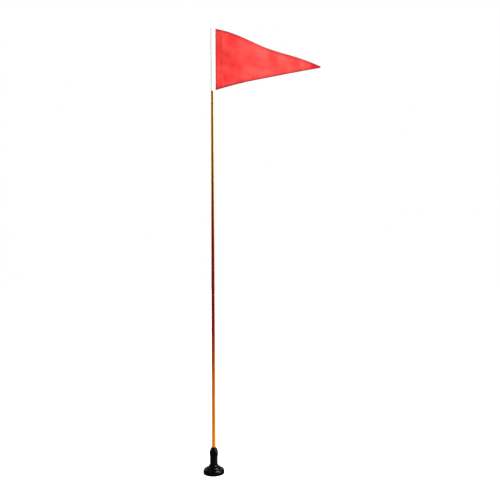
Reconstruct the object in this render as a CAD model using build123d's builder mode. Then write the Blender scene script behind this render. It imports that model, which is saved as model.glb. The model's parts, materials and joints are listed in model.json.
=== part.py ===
from build123d import *
import os

# Free-standing golf flagstick: a tapered stick held in a weighted round foot by a
# clamp nut, with a pennant that turns on a thin rod at the top.
# Millimetres, +Z up, origin at the centre of the foot's underside, flag towards +X.

# ---------------------------------------------------------------- driving dimensions
TOTAL_HEIGHT = 2134.0  # a 7 ft flagstick
BUTT_RADIUS = 19.05 / 2  # 3/4 in butt
TIP_RADIUS = 12.7 / 2  # 1/2 in top end
FLAG_LENGTH = 504.0  # pennant, hoist to tip
FLAG_HOIST = 294.0  # pennant height at the hoist
CLOTH = 1.2  # pennant thickness
RUNNING_GAP = 0.075  # radial clearance of a part that slides or turns
FIT_GAP = 0.05  # radial clearance of a part that is glued or screwed in
BOLT_GAP = 0.2  # radial clearance of a hole that a bolt or screw passes through
SOFT_EDGE = 0.8  # fillet or chamfer on the pad, the socket's mouth and the neck

# Foot: each step of its cover is a quarter ellipse, given as the centre's radius
# and height, then the step's width and rise.
FOOT_STEPS = [
    (40.0, 10.0, 10.0, 15.0),
    (25.0, 25.0, 10.0, 9.0),
    (18.6, 34.0, 6.0, 9.0),
]
WALL = 3.5
RIM_BOTTOM = 1.5
RIM_RADIUS = 49.3
RIM_FILLET = 1.0
PAD_THICKNESS = 3.0
PAD_RADIUS = 46.4
PAD_GROOVES = [20.0, 30.0, 40.0]  # radii
GROOVE_SIZE = 1.2
PLATE_THICKNESS = 2.0

# Cover screws: M4 countersunk, in bosses under the cover's lowest step
SCREW_CIRCLE = 41.0
SCREW_COUNT = 4
SCREW_RADIUS = 2.0
SCREW_HEAD_RADIUS = 4.0
SCREW_LENGTH = 12.0
SCREW_POINT = 0.6  # chamfer at the screw's end
CROSS_LENGTH = 4.2
CROSS_WIDTH = 0.8
CROSS_DEPTH = 1.0
BOSS_RADIUS = 4.0

# Ballast: outer radius and top of its two wide steps, and the radius of its hub
BALLAST_LOW_STEP = (42.0, 20.0)
BALLAST_HIGH_STEP = (29.5, 29.0)
BALLAST_CHAMFER = 3.0
BALLAST_HUB = 18.0
BALLAST_LIFT = 1.0  # gap over the bottom plate
BALLAST_GAP = 0.8  # gap round the screw bosses

# Centre bolt: M10 hexagon head, screwed into the socket from below
BOLT_RADIUS = 5.0
BOLT_LENGTH = 40.0
BOLT_POINT = 1.0  # chamfer at the bolt's end
BOLT_HEAD_FLATS = 17.0
BOLT_HEAD_HEIGHT = 6.4
BOLT_WASHER_RADIUS = 10.5
WASHER_THICKNESS = 2.0
SPRING_WASHER_RADIUS = 9.0
SPRING_WASHER_THICKNESS = 2.2
SPRING_WASHER_SLIT = 1.5
SPRING_WASHER_TURN = 20  # degrees
COUNTERBORE_RADIUS = 12.0
COUNTERBORE_TOP = 18.2

# Socket and neck
SOCKET_RADIUS = 15.0
SOCKET_TOP = 108.0
SPIGOT_SHORT = 0.4  # how far the spigot stays inside the deck, so that the bolt clamps
TAP_RUNOUT = 2.0  # free thread past the bolt's end
SPIGOT_RADIUS = 12.0
BORE_BOTTOM = 60.0
NECK_RADIUS = 18.6
NECK_TOP = 84.0
CUSHION_THICKNESS = 3.0
CUSHION_GAP = 0.3

# Clamp: a split cone pushed into the socket's mouth by the nut
CONE_BOTTOM = 94.0
CONE_BOTTOM_RADIUS = 11.2
CONE_TOP_RADIUS = 13.2
COLLET_BOTTOM = 95.0
COLLET_FLANGE_RADIUS = 14.2
COLLET_FLANGE_BOTTOM = 108.3
COLLET_FLANGE_TOP = 110.8
COLLET_SLOTS = 6
SLOT_WIDTH = 1.2
SLOT_TOP = SOCKET_TOP - 2.0
THRUST_WASHER_TOP = 112.3
THRUST_PLAY = 0.2  # end play between washer and nut
NUT_BOTTOM = 85.0
NUT_TOP = 126.5
NUT_BELLY_HEIGHT = 98.0
NUT_SHOULDER_HEIGHT = 111.0
NUT_SHOULDER_FILLET = 9.0
NUT_WAIST_RADIUS = 19.3
NUT_BELLY_RADIUS = 20.4
NUT_SHOULDER_RADIUS = 18.8
NUT_LIP_RADIUS = 11.4
NUT_LIP_CHAMFER = 0.5
NUT_MOUTH_RADIUS = 9.9
NUT_FLUTES = 12
FLUTE_RADIUS = 3.0
FLUTE_DEPTH = 0.55
FLUTE_BOTTOM = NUT_BOTTOM + 3.0
SEAL_BOTTOM = 114.0
SEAL_HEIGHT = 3.0
SEAL_RADIUS = 12.4

# Stick
BUTT_BOTTOM = BORE_BOTTOM + CUSHION_THICKNESS
PLUG_HEAD = 2.0
PLUG_LENGTH = 25.0
PLUG_CHAMFER = 0.6
STRAIGHT_LENGTH = 80.0  # untapered length at the butt
TUBE_TOP = 1831.0
BUTT_WALL = 2.5
ROD_RADIUS = 4.75
ROD_IN_TUBE = 60.0
ROD_TOP = TOTAL_HEIGHT - 5.5
ROD_TAP_DEPTH = 18.0

# Washer between the stick and the flag
REST_WASHER_RADIUS = 7.2
REST_WASHER_THICKNESS = 2.5

# Flag and the tube that it turns on
FLAG_BOTTOM = 1834.0
FLAG_TOP = FLAG_BOTTOM + FLAG_HOIST
FLAG_TUBE_RADIUS = 6.35
FLAG_TUBE_WALL = 0.75
BUSH_FLANGE = 1.2
BUSH_LENGTH = 13.0
SLEEVE_RADIUS = 7.6
SLEEVE_TAIL = 16.2  # how far the sewn tail reaches from the axis
SLEEVE_TAIL_THICKNESS = 2.4
SLEEVE_END_GAP = 0.3
CAP_RADIUS = 7.8
CAP_SKIRT = 1.5
CAP_RECESS = 2.4
CAP_SCREW_RADIUS = 2.0
CAP_SCREW_HEAD_RADIUS = 3.8
CAP_SCREW_HEAD_HEIGHT = 2.0
CAP_CROSS_LENGTH = 5.6

# Pennant: points that its wave passes through, as distance from the hoist and sideways.
# Each free edge keeps close to a straight line from the hoist to the tip. The top edge weaves
# about its line, given as distance from the hoist and height over the line. The bottom edge
# bows up from its own in one arc. The tip droops below the middle of the hoist.
HOIST_GAP = 0.2  # between the sleeve's tail and the pennant
WAVE = [(0, 0), (100, -8), (240, 3), (380, 11), (FLAG_LENGTH, 13)]
TOP_WEAVE = [(60, 4), (250, -6), (400, 3)]
BOTTOM_BOW = 6.0
TIP_HEIGHT = 112.0
TIP_WIDTH = 7.0
TRIM_DEPTH = 40.0  # deeper than the wave

PLATE_TOP = PAD_THICKNESS + PLATE_THICKNESS
DECK_TOP = FOOT_STEPS[2][1] + FOOT_STEPS[2][3]
DECK_BOTTOM = DECK_TOP - WALL
INNER_RIM = FOOT_STEPS[0][0] + FOOT_STEPS[0][2] - WALL
CUP_CEILING = THRUST_WASHER_TOP + THRUST_PLAY
BORE_RADIUS = BUTT_RADIUS + RUNNING_GAP
ROD_BORE_RADIUS = ROD_RADIUS + RUNNING_GAP

# ---------------------------------------------------------------- foot
# Rubber pad with three round grooves in its underside
with BuildPart() as foot_pad:
    with BuildSketch():
        Circle(PAD_RADIUS)
    extrude(amount=PAD_THICKNESS)
    with BuildSketch():
        for groove_radius in PAD_GROOVES:
            Circle(groove_radius + GROOVE_SIZE / 2)
            Circle(groove_radius - GROOVE_SIZE / 2, mode=Mode.SUBTRACT)
    extrude(amount=GROOVE_SIZE, mode=Mode.SUBTRACT)
    fillet(foot_pad.edges().group_by(Axis.Z)[0].sort_by(SortBy.RADIUS)[-1], SOFT_EDGE)

# Steel plate that closes the foot, countersunk from below
with BuildPart() as bottom_cover:
    with BuildSketch(Plane.XY.offset(PAD_THICKNESS)):
        Circle(PAD_RADIUS)
    extrude(amount=PLATE_THICKNESS)
    with Locations(-Plane.XY.offset(PAD_THICKNESS)):
        with PolarLocations(SCREW_CIRCLE, SCREW_COUNT):
            CounterSinkHole(SCREW_RADIUS + BOLT_GAP, SCREW_HEAD_RADIUS + BOLT_GAP, counter_sink_angle=90)

# Countersunk screws, heads flush with the plate's face, with a cross recess
with BuildPart() as cover_screws:
    with BuildSketch(Plane.XZ):
        with BuildLine():
            Polyline(
                (0, PAD_THICKNESS),
                (SCREW_HEAD_RADIUS, PAD_THICKNESS),
                (SCREW_RADIUS, PAD_THICKNESS + SCREW_HEAD_RADIUS - SCREW_RADIUS),
                (SCREW_RADIUS, PAD_THICKNESS + SCREW_LENGTH - SCREW_POINT),
                (SCREW_RADIUS - SCREW_POINT, PAD_THICKNESS + SCREW_LENGTH),
                (0, PAD_THICKNESS + SCREW_LENGTH),
                close=True,
            )
        make_face()
    one_screw = revolve(axis=Axis.Z, mode=Mode.PRIVATE)
    with PolarLocations(SCREW_CIRCLE, SCREW_COUNT):
        add(one_screw)
    with BuildSketch(Plane.XY.offset(PAD_THICKNESS)):
        with PolarLocations(SCREW_CIRCLE, SCREW_COUNT):
            Rectangle(CROSS_LENGTH, CROSS_WIDTH)
            Rectangle(CROSS_WIDTH, CROSS_LENGTH)
    extrude(amount=CROSS_DEPTH, mode=Mode.SUBTRACT)

# Moulded cover: three rounded steps outside, the same less the wall inside,
# a deck with a hole for the socket's spigot, and four screw bosses
with BuildPart() as base_shell:
    with BuildSketch(Plane.XZ):
        with BuildLine():
            outside = Polyline((INNER_RIM, RIM_BOTTOM), (RIM_RADIUS, RIM_BOTTOM))
            for centre, height, width, rise in FOOT_STEPS:
                Line(outside @ 1, (centre + width, height))
                outside = EllipticalCenterArc((centre, height), width, rise, arc_size=90)
            inside = Line(outside @ 1, (SPIGOT_RADIUS + RUNNING_GAP, DECK_TOP))
            for centre, height, width, rise in reversed(FOOT_STEPS):
                ceiling = height + rise - WALL
                Polyline(inside @ 1, ((inside @ 1).X, ceiling), (centre, ceiling))
                inside = EllipticalCenterArc(
                    (centre, height), width - WALL, rise - WALL, start_angle=90, arc_size=-90
                )
            Line(inside @ 1, (INNER_RIM, RIM_BOTTOM))
        make_face()
    revolve(axis=Axis.Z)
    boss_top = FOOT_STEPS[0][1] + FOOT_STEPS[0][3] - WALL + FIT_GAP
    with BuildSketch(Plane.XY.offset(PLATE_TOP)):
        with PolarLocations(SCREW_CIRCLE, SCREW_COUNT):
            Circle(BOSS_RADIUS)
    extrude(amount=boss_top - PLATE_TOP)
    with BuildSketch(Plane.XY.offset(PLATE_TOP)):
        with PolarLocations(SCREW_CIRCLE, SCREW_COUNT):
            Circle(SCREW_RADIUS + FIT_GAP)
    extrude(amount=SCREW_LENGTH, mode=Mode.SUBTRACT)
    rim_edges = base_shell.edges().filter_by(GeomType.CIRCLE).sort_by(Axis.Z)[0:2]
    fillet(rim_edges.sort_by(SortBy.RADIUS)[-1], RIM_FILLET)

# Cast weight that fills the cover in three steps, notched round the bosses
ballast_bottom = PLATE_TOP + BALLAST_LIFT
low_radius, low_top = BALLAST_LOW_STEP
high_radius, high_top = BALLAST_HIGH_STEP

with BuildPart() as ballast:
    with BuildSketch(Plane.XZ):
        with BuildLine():
            Polyline(
                (0, ballast_bottom),
                (low_radius, ballast_bottom),
                (low_radius, low_top - BALLAST_CHAMFER),
                (low_radius - BALLAST_CHAMFER, low_top),
                (high_radius, low_top),
                (high_radius, high_top - BALLAST_CHAMFER),
                (high_radius - BALLAST_CHAMFER, high_top),
                (BALLAST_HUB, high_top),
                (BALLAST_HUB, DECK_BOTTOM),
                (0, DECK_BOTTOM),
                close=True,
            )
        make_face()
    revolve(axis=Axis.Z)
    with BuildSketch(Plane.XY.offset(ballast_bottom)):
        with PolarLocations(SCREW_CIRCLE, SCREW_COUNT):
            Circle(BOSS_RADIUS + BALLAST_GAP)
    extrude(amount=DECK_BOTTOM, mode=Mode.SUBTRACT)
    with Locations(-Plane.XY.offset(ballast_bottom)):
        CounterBoreHole(BOLT_RADIUS + BOLT_GAP, COUNTERBORE_RADIUS, COUNTERBORE_TOP - ballast_bottom)

# ---------------------------------------------------------------- centre fixing
bolt_washer_bottom = COUNTERBORE_TOP - WASHER_THICKNESS
spring_washer_bottom = bolt_washer_bottom - SPRING_WASHER_THICKNESS

with BuildPart() as bolt_washer:
    with BuildSketch(Plane.XY.offset(bolt_washer_bottom)):
        Circle(BOLT_WASHER_RADIUS)
        Circle(BOLT_RADIUS + BOLT_GAP, mode=Mode.SUBTRACT)
    extrude(amount=WASHER_THICKNESS)

# Split spring washer
with BuildPart() as lock_washer:
    with BuildSketch(Plane.XY.offset(spring_washer_bottom)):
        Circle(SPRING_WASHER_RADIUS)
        Circle(BOLT_RADIUS + BOLT_GAP, mode=Mode.SUBTRACT)
        with Locations((SPRING_WASHER_RADIUS, 0)):
            Rectangle(
                2 * SPRING_WASHER_RADIUS,
                SPRING_WASHER_SLIT,
                rotation=SPRING_WASHER_TURN,
                mode=Mode.SUBTRACT,
            )
    extrude(amount=SPRING_WASHER_THICKNESS)

with BuildPart() as centre_bolt:
    with BuildSketch(Plane.XY.offset(spring_washer_bottom)):
        RegularPolygon(BOLT_HEAD_FLATS / 2, side_count=6, major_radius=False)
    extrude(amount=-BOLT_HEAD_HEIGHT)
    with BuildSketch(Plane.XY.offset(spring_washer_bottom)):
        Circle(BOLT_RADIUS)
    extrude(amount=BOLT_LENGTH)
    chamfer(centre_bolt.edges().filter_by(GeomType.CIRCLE).sort_by(Axis.Z)[-1], BOLT_POINT)

# Metal socket: solid tapped bottom with a spigot, bored for the stick, with a cone
# in its mouth for the collet. Its outside thread is drawn as its major diameter.
with BuildPart() as socket:
    with BuildSketch(Plane.XZ):
        with BuildLine():
            Polyline(
                (0, DECK_BOTTOM + SPIGOT_SHORT),
                (SPIGOT_RADIUS, DECK_BOTTOM + SPIGOT_SHORT),
                (SPIGOT_RADIUS, DECK_TOP),
                (SOCKET_RADIUS, DECK_TOP),
                (SOCKET_RADIUS, SOCKET_TOP),
                (CONE_TOP_RADIUS, SOCKET_TOP),
                (CONE_BOTTOM_RADIUS, CONE_BOTTOM),
                (BORE_RADIUS, CONE_BOTTOM),
                (BORE_RADIUS, BORE_BOTTOM),
                (0, BORE_BOTTOM),
                close=True,
            )
        make_face()
    revolve(axis=Axis.Z)
    with BuildSketch(Plane.XY.offset(DECK_BOTTOM)):
        Circle(BOLT_RADIUS + FIT_GAP)
    tap_top = spring_washer_bottom + BOLT_LENGTH + TAP_RUNOUT
    extrude(amount=tap_top - DECK_BOTTOM, mode=Mode.SUBTRACT)
    mouth_edges = socket.edges().filter_by(GeomType.CIRCLE).group_by(Axis.Z)[-1]
    chamfer(mouth_edges.sort_by(SortBy.RADIUS)[-1], SOFT_EDGE)

# Rubber neck over the socket
with BuildPart() as neck_sleeve:
    with BuildSketch(Plane.XY.offset(DECK_TOP)):
        Circle(NECK_RADIUS)
        Circle(SOCKET_RADIUS + FIT_GAP, mode=Mode.SUBTRACT)
    extrude(amount=NECK_TOP - DECK_TOP)
    fillet(neck_sleeve.edges().group_by(Axis.Z)[-1].sort_by(SortBy.RADIUS)[-1], SOFT_EDGE)

# Pad that the stick stands on inside the socket
with BuildPart() as butt_cushion:
    with BuildSketch(Plane.XY.offset(BORE_BOTTOM)):
        Circle(BUTT_RADIUS - CUSHION_GAP)
    extrude(amount=CUSHION_THICKNESS)

# ---------------------------------------------------------------- clamp
# Split cone with a flange, slotted from below
with BuildPart() as collet:
    cone_slope = (CONE_TOP_RADIUS - CONE_BOTTOM_RADIUS) / (SOCKET_TOP - CONE_BOTTOM)
    collet_bottom_radius = CONE_BOTTOM_RADIUS + cone_slope * (COLLET_BOTTOM - CONE_BOTTOM)
    with BuildSketch(Plane.XZ):
        with BuildLine():
            Polyline(
                (BORE_RADIUS, COLLET_BOTTOM),
                (collet_bottom_radius - RUNNING_GAP, COLLET_BOTTOM),
                (CONE_TOP_RADIUS - RUNNING_GAP, SOCKET_TOP),
                (CONE_TOP_RADIUS - RUNNING_GAP, COLLET_FLANGE_BOTTOM),
                (COLLET_FLANGE_RADIUS, COLLET_FLANGE_BOTTOM),
                (COLLET_FLANGE_RADIUS, COLLET_FLANGE_TOP),
                (BORE_RADIUS, COLLET_FLANGE_TOP),
                close=True,
            )
        make_face()
    revolve(axis=Axis.Z)
    with BuildSketch(Plane.XY.offset(COLLET_BOTTOM)):
        with PolarLocations(CONE_BOTTOM_RADIUS, COLLET_SLOTS):
            Rectangle(CONE_BOTTOM_RADIUS, SLOT_WIDTH)
    extrude(amount=SLOT_TOP - COLLET_BOTTOM, mode=Mode.SUBTRACT)

with BuildPart() as thrust_washer:
    with BuildSketch(Plane.XY.offset(COLLET_FLANGE_TOP)):
        Circle(COLLET_FLANGE_RADIUS)
        Circle(BORE_RADIUS + BOLT_GAP, mode=Mode.SUBTRACT)
    extrude(amount=THRUST_WASHER_TOP - COLLET_FLANGE_TOP)

# Bulb-shaped nut: a cup over the socket's thread, a mouth for the stick, a groove
# for the seal and shallow grip flutes round its belly
with BuildPart() as collet_nut:
    with BuildSketch(Plane.XZ) as nut_profile:
        with BuildLine():
            belly = ThreePointArc(
                (NUT_WAIST_RADIUS, NUT_BOTTOM),
                (NUT_BELLY_RADIUS, NUT_BELLY_HEIGHT),
                (NUT_SHOULDER_RADIUS, NUT_SHOULDER_HEIGHT),
            )
            Polyline(
                belly @ 1,
                (NUT_LIP_RADIUS, NUT_TOP - 2 * NUT_LIP_CHAMFER),
                (NUT_LIP_RADIUS - NUT_LIP_CHAMFER, NUT_TOP),
                (NUT_MOUTH_RADIUS, NUT_TOP),
                (NUT_MOUTH_RADIUS, SEAL_BOTTOM + SEAL_HEIGHT),
                (SEAL_RADIUS, SEAL_BOTTOM + SEAL_HEIGHT),
                (SEAL_RADIUS, SEAL_BOTTOM),
                (NUT_MOUTH_RADIUS, SEAL_BOTTOM),
                (NUT_MOUTH_RADIUS, CUP_CEILING),
                (SOCKET_RADIUS + RUNNING_GAP, CUP_CEILING),
                (SOCKET_RADIUS + RUNNING_GAP, NUT_BOTTOM),
                belly @ 0,
            )
        make_face()
        fillet(nut_profile.vertices().sort_by_distance(tuple(belly @ 1))[0], NUT_SHOULDER_FILLET)
    revolve(axis=Axis.Z)
    with BuildSketch(Plane.XY.offset(FLUTE_BOTTOM)):
        with PolarLocations(NUT_BELLY_RADIUS + FLUTE_RADIUS - FLUTE_DEPTH, NUT_FLUTES):
            Circle(FLUTE_RADIUS)
    extrude(amount=NUT_SHOULDER_HEIGHT - FLUTE_BOTTOM, mode=Mode.SUBTRACT)

# Rubber wiper ring in the nut's groove
with BuildPart() as nut_seal:
    with BuildSketch(Plane.XY.offset(SEAL_BOTTOM + FIT_GAP)):
        Circle(SEAL_RADIUS - FIT_GAP)
        Circle(BORE_RADIUS, mode=Mode.SUBTRACT)
    extrude(amount=SEAL_HEIGHT - 2 * FIT_GAP)

# ---------------------------------------------------------------- stick
tube_bottom = BUTT_BOTTOM + PLUG_HEAD
tube_bore_radius = BUTT_RADIUS - BUTT_WALL

# Stepped plug in the stick's lower end
with BuildPart() as butt_plug:
    with BuildSketch(Plane.XY.offset(BUTT_BOTTOM)):
        Circle(BUTT_RADIUS)
    extrude(amount=PLUG_HEAD)
    with BuildSketch(Plane.XY.offset(tube_bottom)):
        Circle(tube_bore_radius - 2 * FIT_GAP)
    extrude(amount=PLUG_LENGTH)
    chamfer(butt_plug.edges().filter_by(GeomType.CIRCLE).sort_by(Axis.Z)[0], PLUG_CHAMFER)

# Fibreglass tube, straight at the butt and then tapered, with a tapered bore
with BuildPart() as pole_tube:
    with BuildSketch(Plane.XZ):
        with BuildLine():
            Polyline(
                (tube_bore_radius, tube_bottom),
                (BUTT_RADIUS, tube_bottom),
                (BUTT_RADIUS, tube_bottom + STRAIGHT_LENGTH),
                (TIP_RADIUS, TUBE_TOP),
                (ROD_RADIUS + FIT_GAP, TUBE_TOP),
                close=True,
            )
        make_face()
    revolve(axis=Axis.Z)

# Rod that the flag turns on, glued into the tube, with a tapped hole in its top
with BuildPart() as swivel_rod:
    with BuildSketch(Plane.XY.offset(TUBE_TOP - ROD_IN_TUBE)):
        Circle(ROD_RADIUS)
    extrude(amount=ROD_TOP - TUBE_TOP + ROD_IN_TUBE)
    with BuildSketch(Plane.XY.offset(ROD_TOP)):
        Circle(CAP_SCREW_RADIUS + FIT_GAP)
    extrude(amount=-ROD_TAP_DEPTH, mode=Mode.SUBTRACT)

# Washer between the stick's end and the flag's lower bush
with BuildPart() as rest_washer:
    with BuildSketch(Plane.XY.offset(TUBE_TOP)):
        Circle(REST_WASHER_RADIUS)
        Circle(ROD_RADIUS + FIT_GAP, mode=Mode.SUBTRACT)
    extrude(amount=REST_WASHER_THICKNESS)

# Domed cap, counterbored for its screw
with BuildPart() as tip_cap:
    skirt_top = ROD_TOP + CAP_SKIRT
    with BuildSketch(Plane.XZ):
        with BuildLine():
            cap_side = Polyline((0, ROD_TOP), (CAP_RADIUS, ROD_TOP), (CAP_RADIUS, skirt_top))
            dome = EllipticalCenterArc((0, skirt_top), CAP_RADIUS, TOTAL_HEIGHT - skirt_top, arc_size=90)
            Line(dome @ 1, cap_side @ 0)
        make_face()
    revolve(axis=Axis.Z)
    with Locations((0, 0, TOTAL_HEIGHT)):
        CounterBoreHole(CAP_SCREW_RADIUS + BOLT_GAP, CAP_SCREW_HEAD_RADIUS + BOLT_GAP, CAP_RECESS)

# Pan-head screw through the cap into the rod
with BuildPart() as cap_screw:
    head_bottom = TOTAL_HEIGHT - CAP_RECESS
    with BuildSketch(Plane.XY.offset(head_bottom)):
        Circle(CAP_SCREW_HEAD_RADIUS)
    extrude(amount=CAP_SCREW_HEAD_HEIGHT)
    with BuildSketch(Plane.XY.offset(head_bottom)):
        Circle(CAP_SCREW_RADIUS)
    extrude(amount=-ROD_TAP_DEPTH)
    with BuildSketch(Plane.XY.offset(head_bottom + CAP_SCREW_HEAD_HEIGHT)):
        Rectangle(CAP_CROSS_LENGTH, CROSS_WIDTH)
        Rectangle(CROSS_WIDTH, CAP_CROSS_LENGTH)
    extrude(amount=-CROSS_DEPTH, mode=Mode.SUBTRACT)

# ---------------------------------------------------------------- flag
flag_tube_bore = FLAG_TUBE_RADIUS - FLAG_TUBE_WALL
tube_start = FLAG_BOTTOM + BUSH_FLANGE
tube_end = FLAG_TOP - BUSH_FLANGE

# Plastic tube that carries the flag
with BuildPart() as flag_tube:
    with BuildSketch(Plane.XY.offset(tube_start)):
        Circle(FLAG_TUBE_RADIUS)
        Circle(flag_tube_bore, mode=Mode.SUBTRACT)
    extrude(amount=tube_end - tube_start)

# Flanged bush in the tube's lower end
with BuildPart() as lower_bush:
    with BuildSketch(Plane.XY.offset(FLAG_BOTTOM)):
        Circle(FLAG_TUBE_RADIUS)
    extrude(amount=BUSH_FLANGE)
    with BuildSketch(Plane.XY.offset(tube_start)):
        Circle(flag_tube_bore - FIT_GAP)
    extrude(amount=BUSH_LENGTH)
    with BuildSketch(Plane.XY.offset(FLAG_BOTTOM)):
        Circle(ROD_BORE_RADIUS)
    extrude(amount=BUSH_FLANGE + BUSH_LENGTH, mode=Mode.SUBTRACT)

# The same bush, mirrored into the tube's upper end
with BuildPart() as upper_bush:
    middle = Plane.XY.offset((FLAG_BOTTOM + FLAG_TOP) / 2)
    mirror(lower_bush.part, about=middle)

# Canvas sleeve round the tube, its two plies sewn together as a flat tail
with BuildPart() as header_sleeve:
    with BuildSketch(Plane.XY.offset(tube_start + SLEEVE_END_GAP)):
        Circle(SLEEVE_RADIUS)
        with Locations((SLEEVE_TAIL / 2, 0)):
            Rectangle(SLEEVE_TAIL, SLEEVE_TAIL_THICKNESS)
        Circle(FLAG_TUBE_RADIUS + FIT_GAP, mode=Mode.SUBTRACT)
    extrude(amount=tube_end - tube_start - 2 * SLEEVE_END_GAP)

# Nylon pennant: a wavy band as long as the flag, trimmed to the pennant's outline
with BuildPart() as pennant:
    hoist = SLEEVE_TAIL + HOIST_GAP
    with BuildSketch(Plane((hoist, 0, FLAG_BOTTOM))):
        with BuildLine():
            Spline(*WAVE)
        trace(line_width=CLOTH)
    extrude(amount=FLAG_HOIST)
    tip_top = TIP_HEIGHT + TIP_WIDTH / 2
    tip_bottom = TIP_HEIGHT - TIP_WIDTH / 2
    fall = (FLAG_HOIST - tip_top) / FLAG_LENGTH
    weave = [(distance, FLAG_HOIST - fall * distance + rise) for distance, rise in TOP_WEAVE]
    with BuildSketch(Plane((hoist, 0, FLAG_BOTTOM), x_dir=(1, 0, 0), z_dir=(0, -1, 0))):
        with BuildLine():
            top_edge = Spline((0, FLAG_HOIST), *weave, (FLAG_LENGTH, tip_top))
            bow_middle = (FLAG_LENGTH / 2, tip_bottom / 2 + BOTTOM_BOW)
            bottom_edge = ThreePointArc((0, 0), bow_middle, (FLAG_LENGTH, tip_bottom))
            Line(top_edge @ 0, bottom_edge @ 0)
            Line(top_edge @ 1, bottom_edge @ 1)
        make_face()
    extrude(amount=TRIM_DEPTH, both=True, mode=Mode.INTERSECT)

# ---------------------------------------------------------------- output
pieces = {
    "foot_pad": foot_pad,
    "bottom_cover": bottom_cover,
    "cover_screws": cover_screws,
    "base_shell": base_shell,
    "ballast": ballast,
    "centre_bolt": centre_bolt,
    "bolt_washer": bolt_washer,
    "lock_washer": lock_washer,
    "socket": socket,
    "neck_sleeve": neck_sleeve,
    "butt_cushion": butt_cushion,
    "collet": collet,
    "thrust_washer": thrust_washer,
    "collet_nut": collet_nut,
    "nut_seal": nut_seal,
    "butt_plug": butt_plug,
    "pole_tube": pole_tube,
    "swivel_rod": swivel_rod,
    "rest_washer": rest_washer,
    "tip_cap": tip_cap,
    "cap_screw": cap_screw,
    "flag_tube": flag_tube,
    "upper_bush": upper_bush,
    "lower_bush": lower_bush,
    "header_sleeve": header_sleeve,
    "pennant": pennant,
}

os.makedirs("parts", exist_ok=True)
for label, piece in pieces.items():
    piece.part.label = label
    export_step(piece.part, f"parts/{label}.step")
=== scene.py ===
import json
import math

import bpy
import numpy as np
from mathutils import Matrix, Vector


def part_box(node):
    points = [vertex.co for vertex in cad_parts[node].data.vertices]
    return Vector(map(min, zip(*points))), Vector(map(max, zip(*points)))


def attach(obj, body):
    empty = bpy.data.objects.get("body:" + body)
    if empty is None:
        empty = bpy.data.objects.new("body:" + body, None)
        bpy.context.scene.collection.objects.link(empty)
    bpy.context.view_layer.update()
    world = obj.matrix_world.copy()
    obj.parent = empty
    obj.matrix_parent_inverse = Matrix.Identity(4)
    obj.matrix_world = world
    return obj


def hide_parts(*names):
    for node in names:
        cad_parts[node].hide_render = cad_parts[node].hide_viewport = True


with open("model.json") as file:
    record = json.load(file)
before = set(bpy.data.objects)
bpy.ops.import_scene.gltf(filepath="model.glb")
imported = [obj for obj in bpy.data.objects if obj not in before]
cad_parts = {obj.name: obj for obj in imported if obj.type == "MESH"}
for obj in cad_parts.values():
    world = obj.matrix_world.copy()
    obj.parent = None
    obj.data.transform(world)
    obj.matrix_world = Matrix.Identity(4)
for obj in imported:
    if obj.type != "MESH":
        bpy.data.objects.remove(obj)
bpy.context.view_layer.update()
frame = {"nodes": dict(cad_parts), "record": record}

# A free-standing golf flagstick. The CAD frame holds the foot, the clamp, the stick and
# the rod. This script gives them their finishes, sews the flag and sets up the studio.
# Metres, +Z up, the flag flies towards +X.

MM = 0.001

# ---------------------------------------------------------------- places from the frame
flag_low, flag_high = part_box("pennant")
sleeve_low, sleeve_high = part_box("header_sleeve")

HOIST = flag_low.x  # where the pennant leaves the sleeve
FLY = flag_high.x
FLAG_LENGTH = FLY - HOIST
FLAG_HEIGHT = flag_high.z - flag_low.z

# ---------------------------------------------------------------- sewing sizes
CLOTH = 0.7 * MM
HEM_WIDTH = 12.7 * MM
HEM_PLY = 0.75 * MM  # what a folded hem adds to the thickness
BAND_WIDTH = 38 * MM  # reinforcement along the hoist
BAND_PLY = 0.45 * MM
TIP_PATCH = 46 * MM  # length of the doubled tip
EDGE_ROUND = 0.9 * MM
STITCH_INSET = 2.2 * MM  # stitch line to the hem's inner edge
STITCH_LENGTH = 2.3 * MM
STITCH_PITCH = 3.3 * MM
STITCH_ARCH = np.array([-0.6, 0.4, 0.7, 0.4, -0.6])  # thread radii over the cloth
THREAD = 0.28 * MM  # thread radius
THREAD_SIDES = 6
EDGE_THREAD_RADIUS = 0.42 * MM
EDGE_PITCH = 1.3 * MM
NYLON_WEAVE = 0.42 * MM
CANVAS_WEAVE = 0.55 * MM
CANVAS_RADIUS = 7.5 * MM

# Pennant: the top edge weaves about a straight line from the hoist to the tip, the bottom
# edge bows up from its own, and the cloth waves sideways. The points of TOP_WEAVE and WAVE
# are millimetres from the hoist and millimetres up or sideways.
TIP_TOP = 115.5 * MM  # over the pennant's lowest point
TIP_BOTTOM = 108.5 * MM
TOP_WEAVE = [(0, 0), (60, 4), (250, -6), (400, 3), (504, 0)]
BOTTOM_BOW = 6 * MM
WAVE = [(0, 0), (100, -8), (240, 3), (380, 11), (504, 13)]  # towards +Y

# Soft folds: middle (from the hoist and from the pennant's foot), the angle that the fold
# runs at, half width, half length and how far it stands forward, in millimetres and degrees
FOLDS = [
    (96, 155, -52, 34, 95, 4.6),
    (203, 166, -60, 24, 62, 3.8),
    (300, 148, -50, 24, 48, 2.8),
    (400, 118, -60, 16, 28, 1.4),
    (205, 82, -70, 18, 30, 2.1),
    (48, 75, -76, 10, 60, 0.9),
    (30, 235, -80, 16, 50, 1.3),
    (130, 55, -35, 18, 45, 1.7),
]
FOLD_START = 0.07  # share of the length over which the folds grow from the flat hoist


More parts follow.
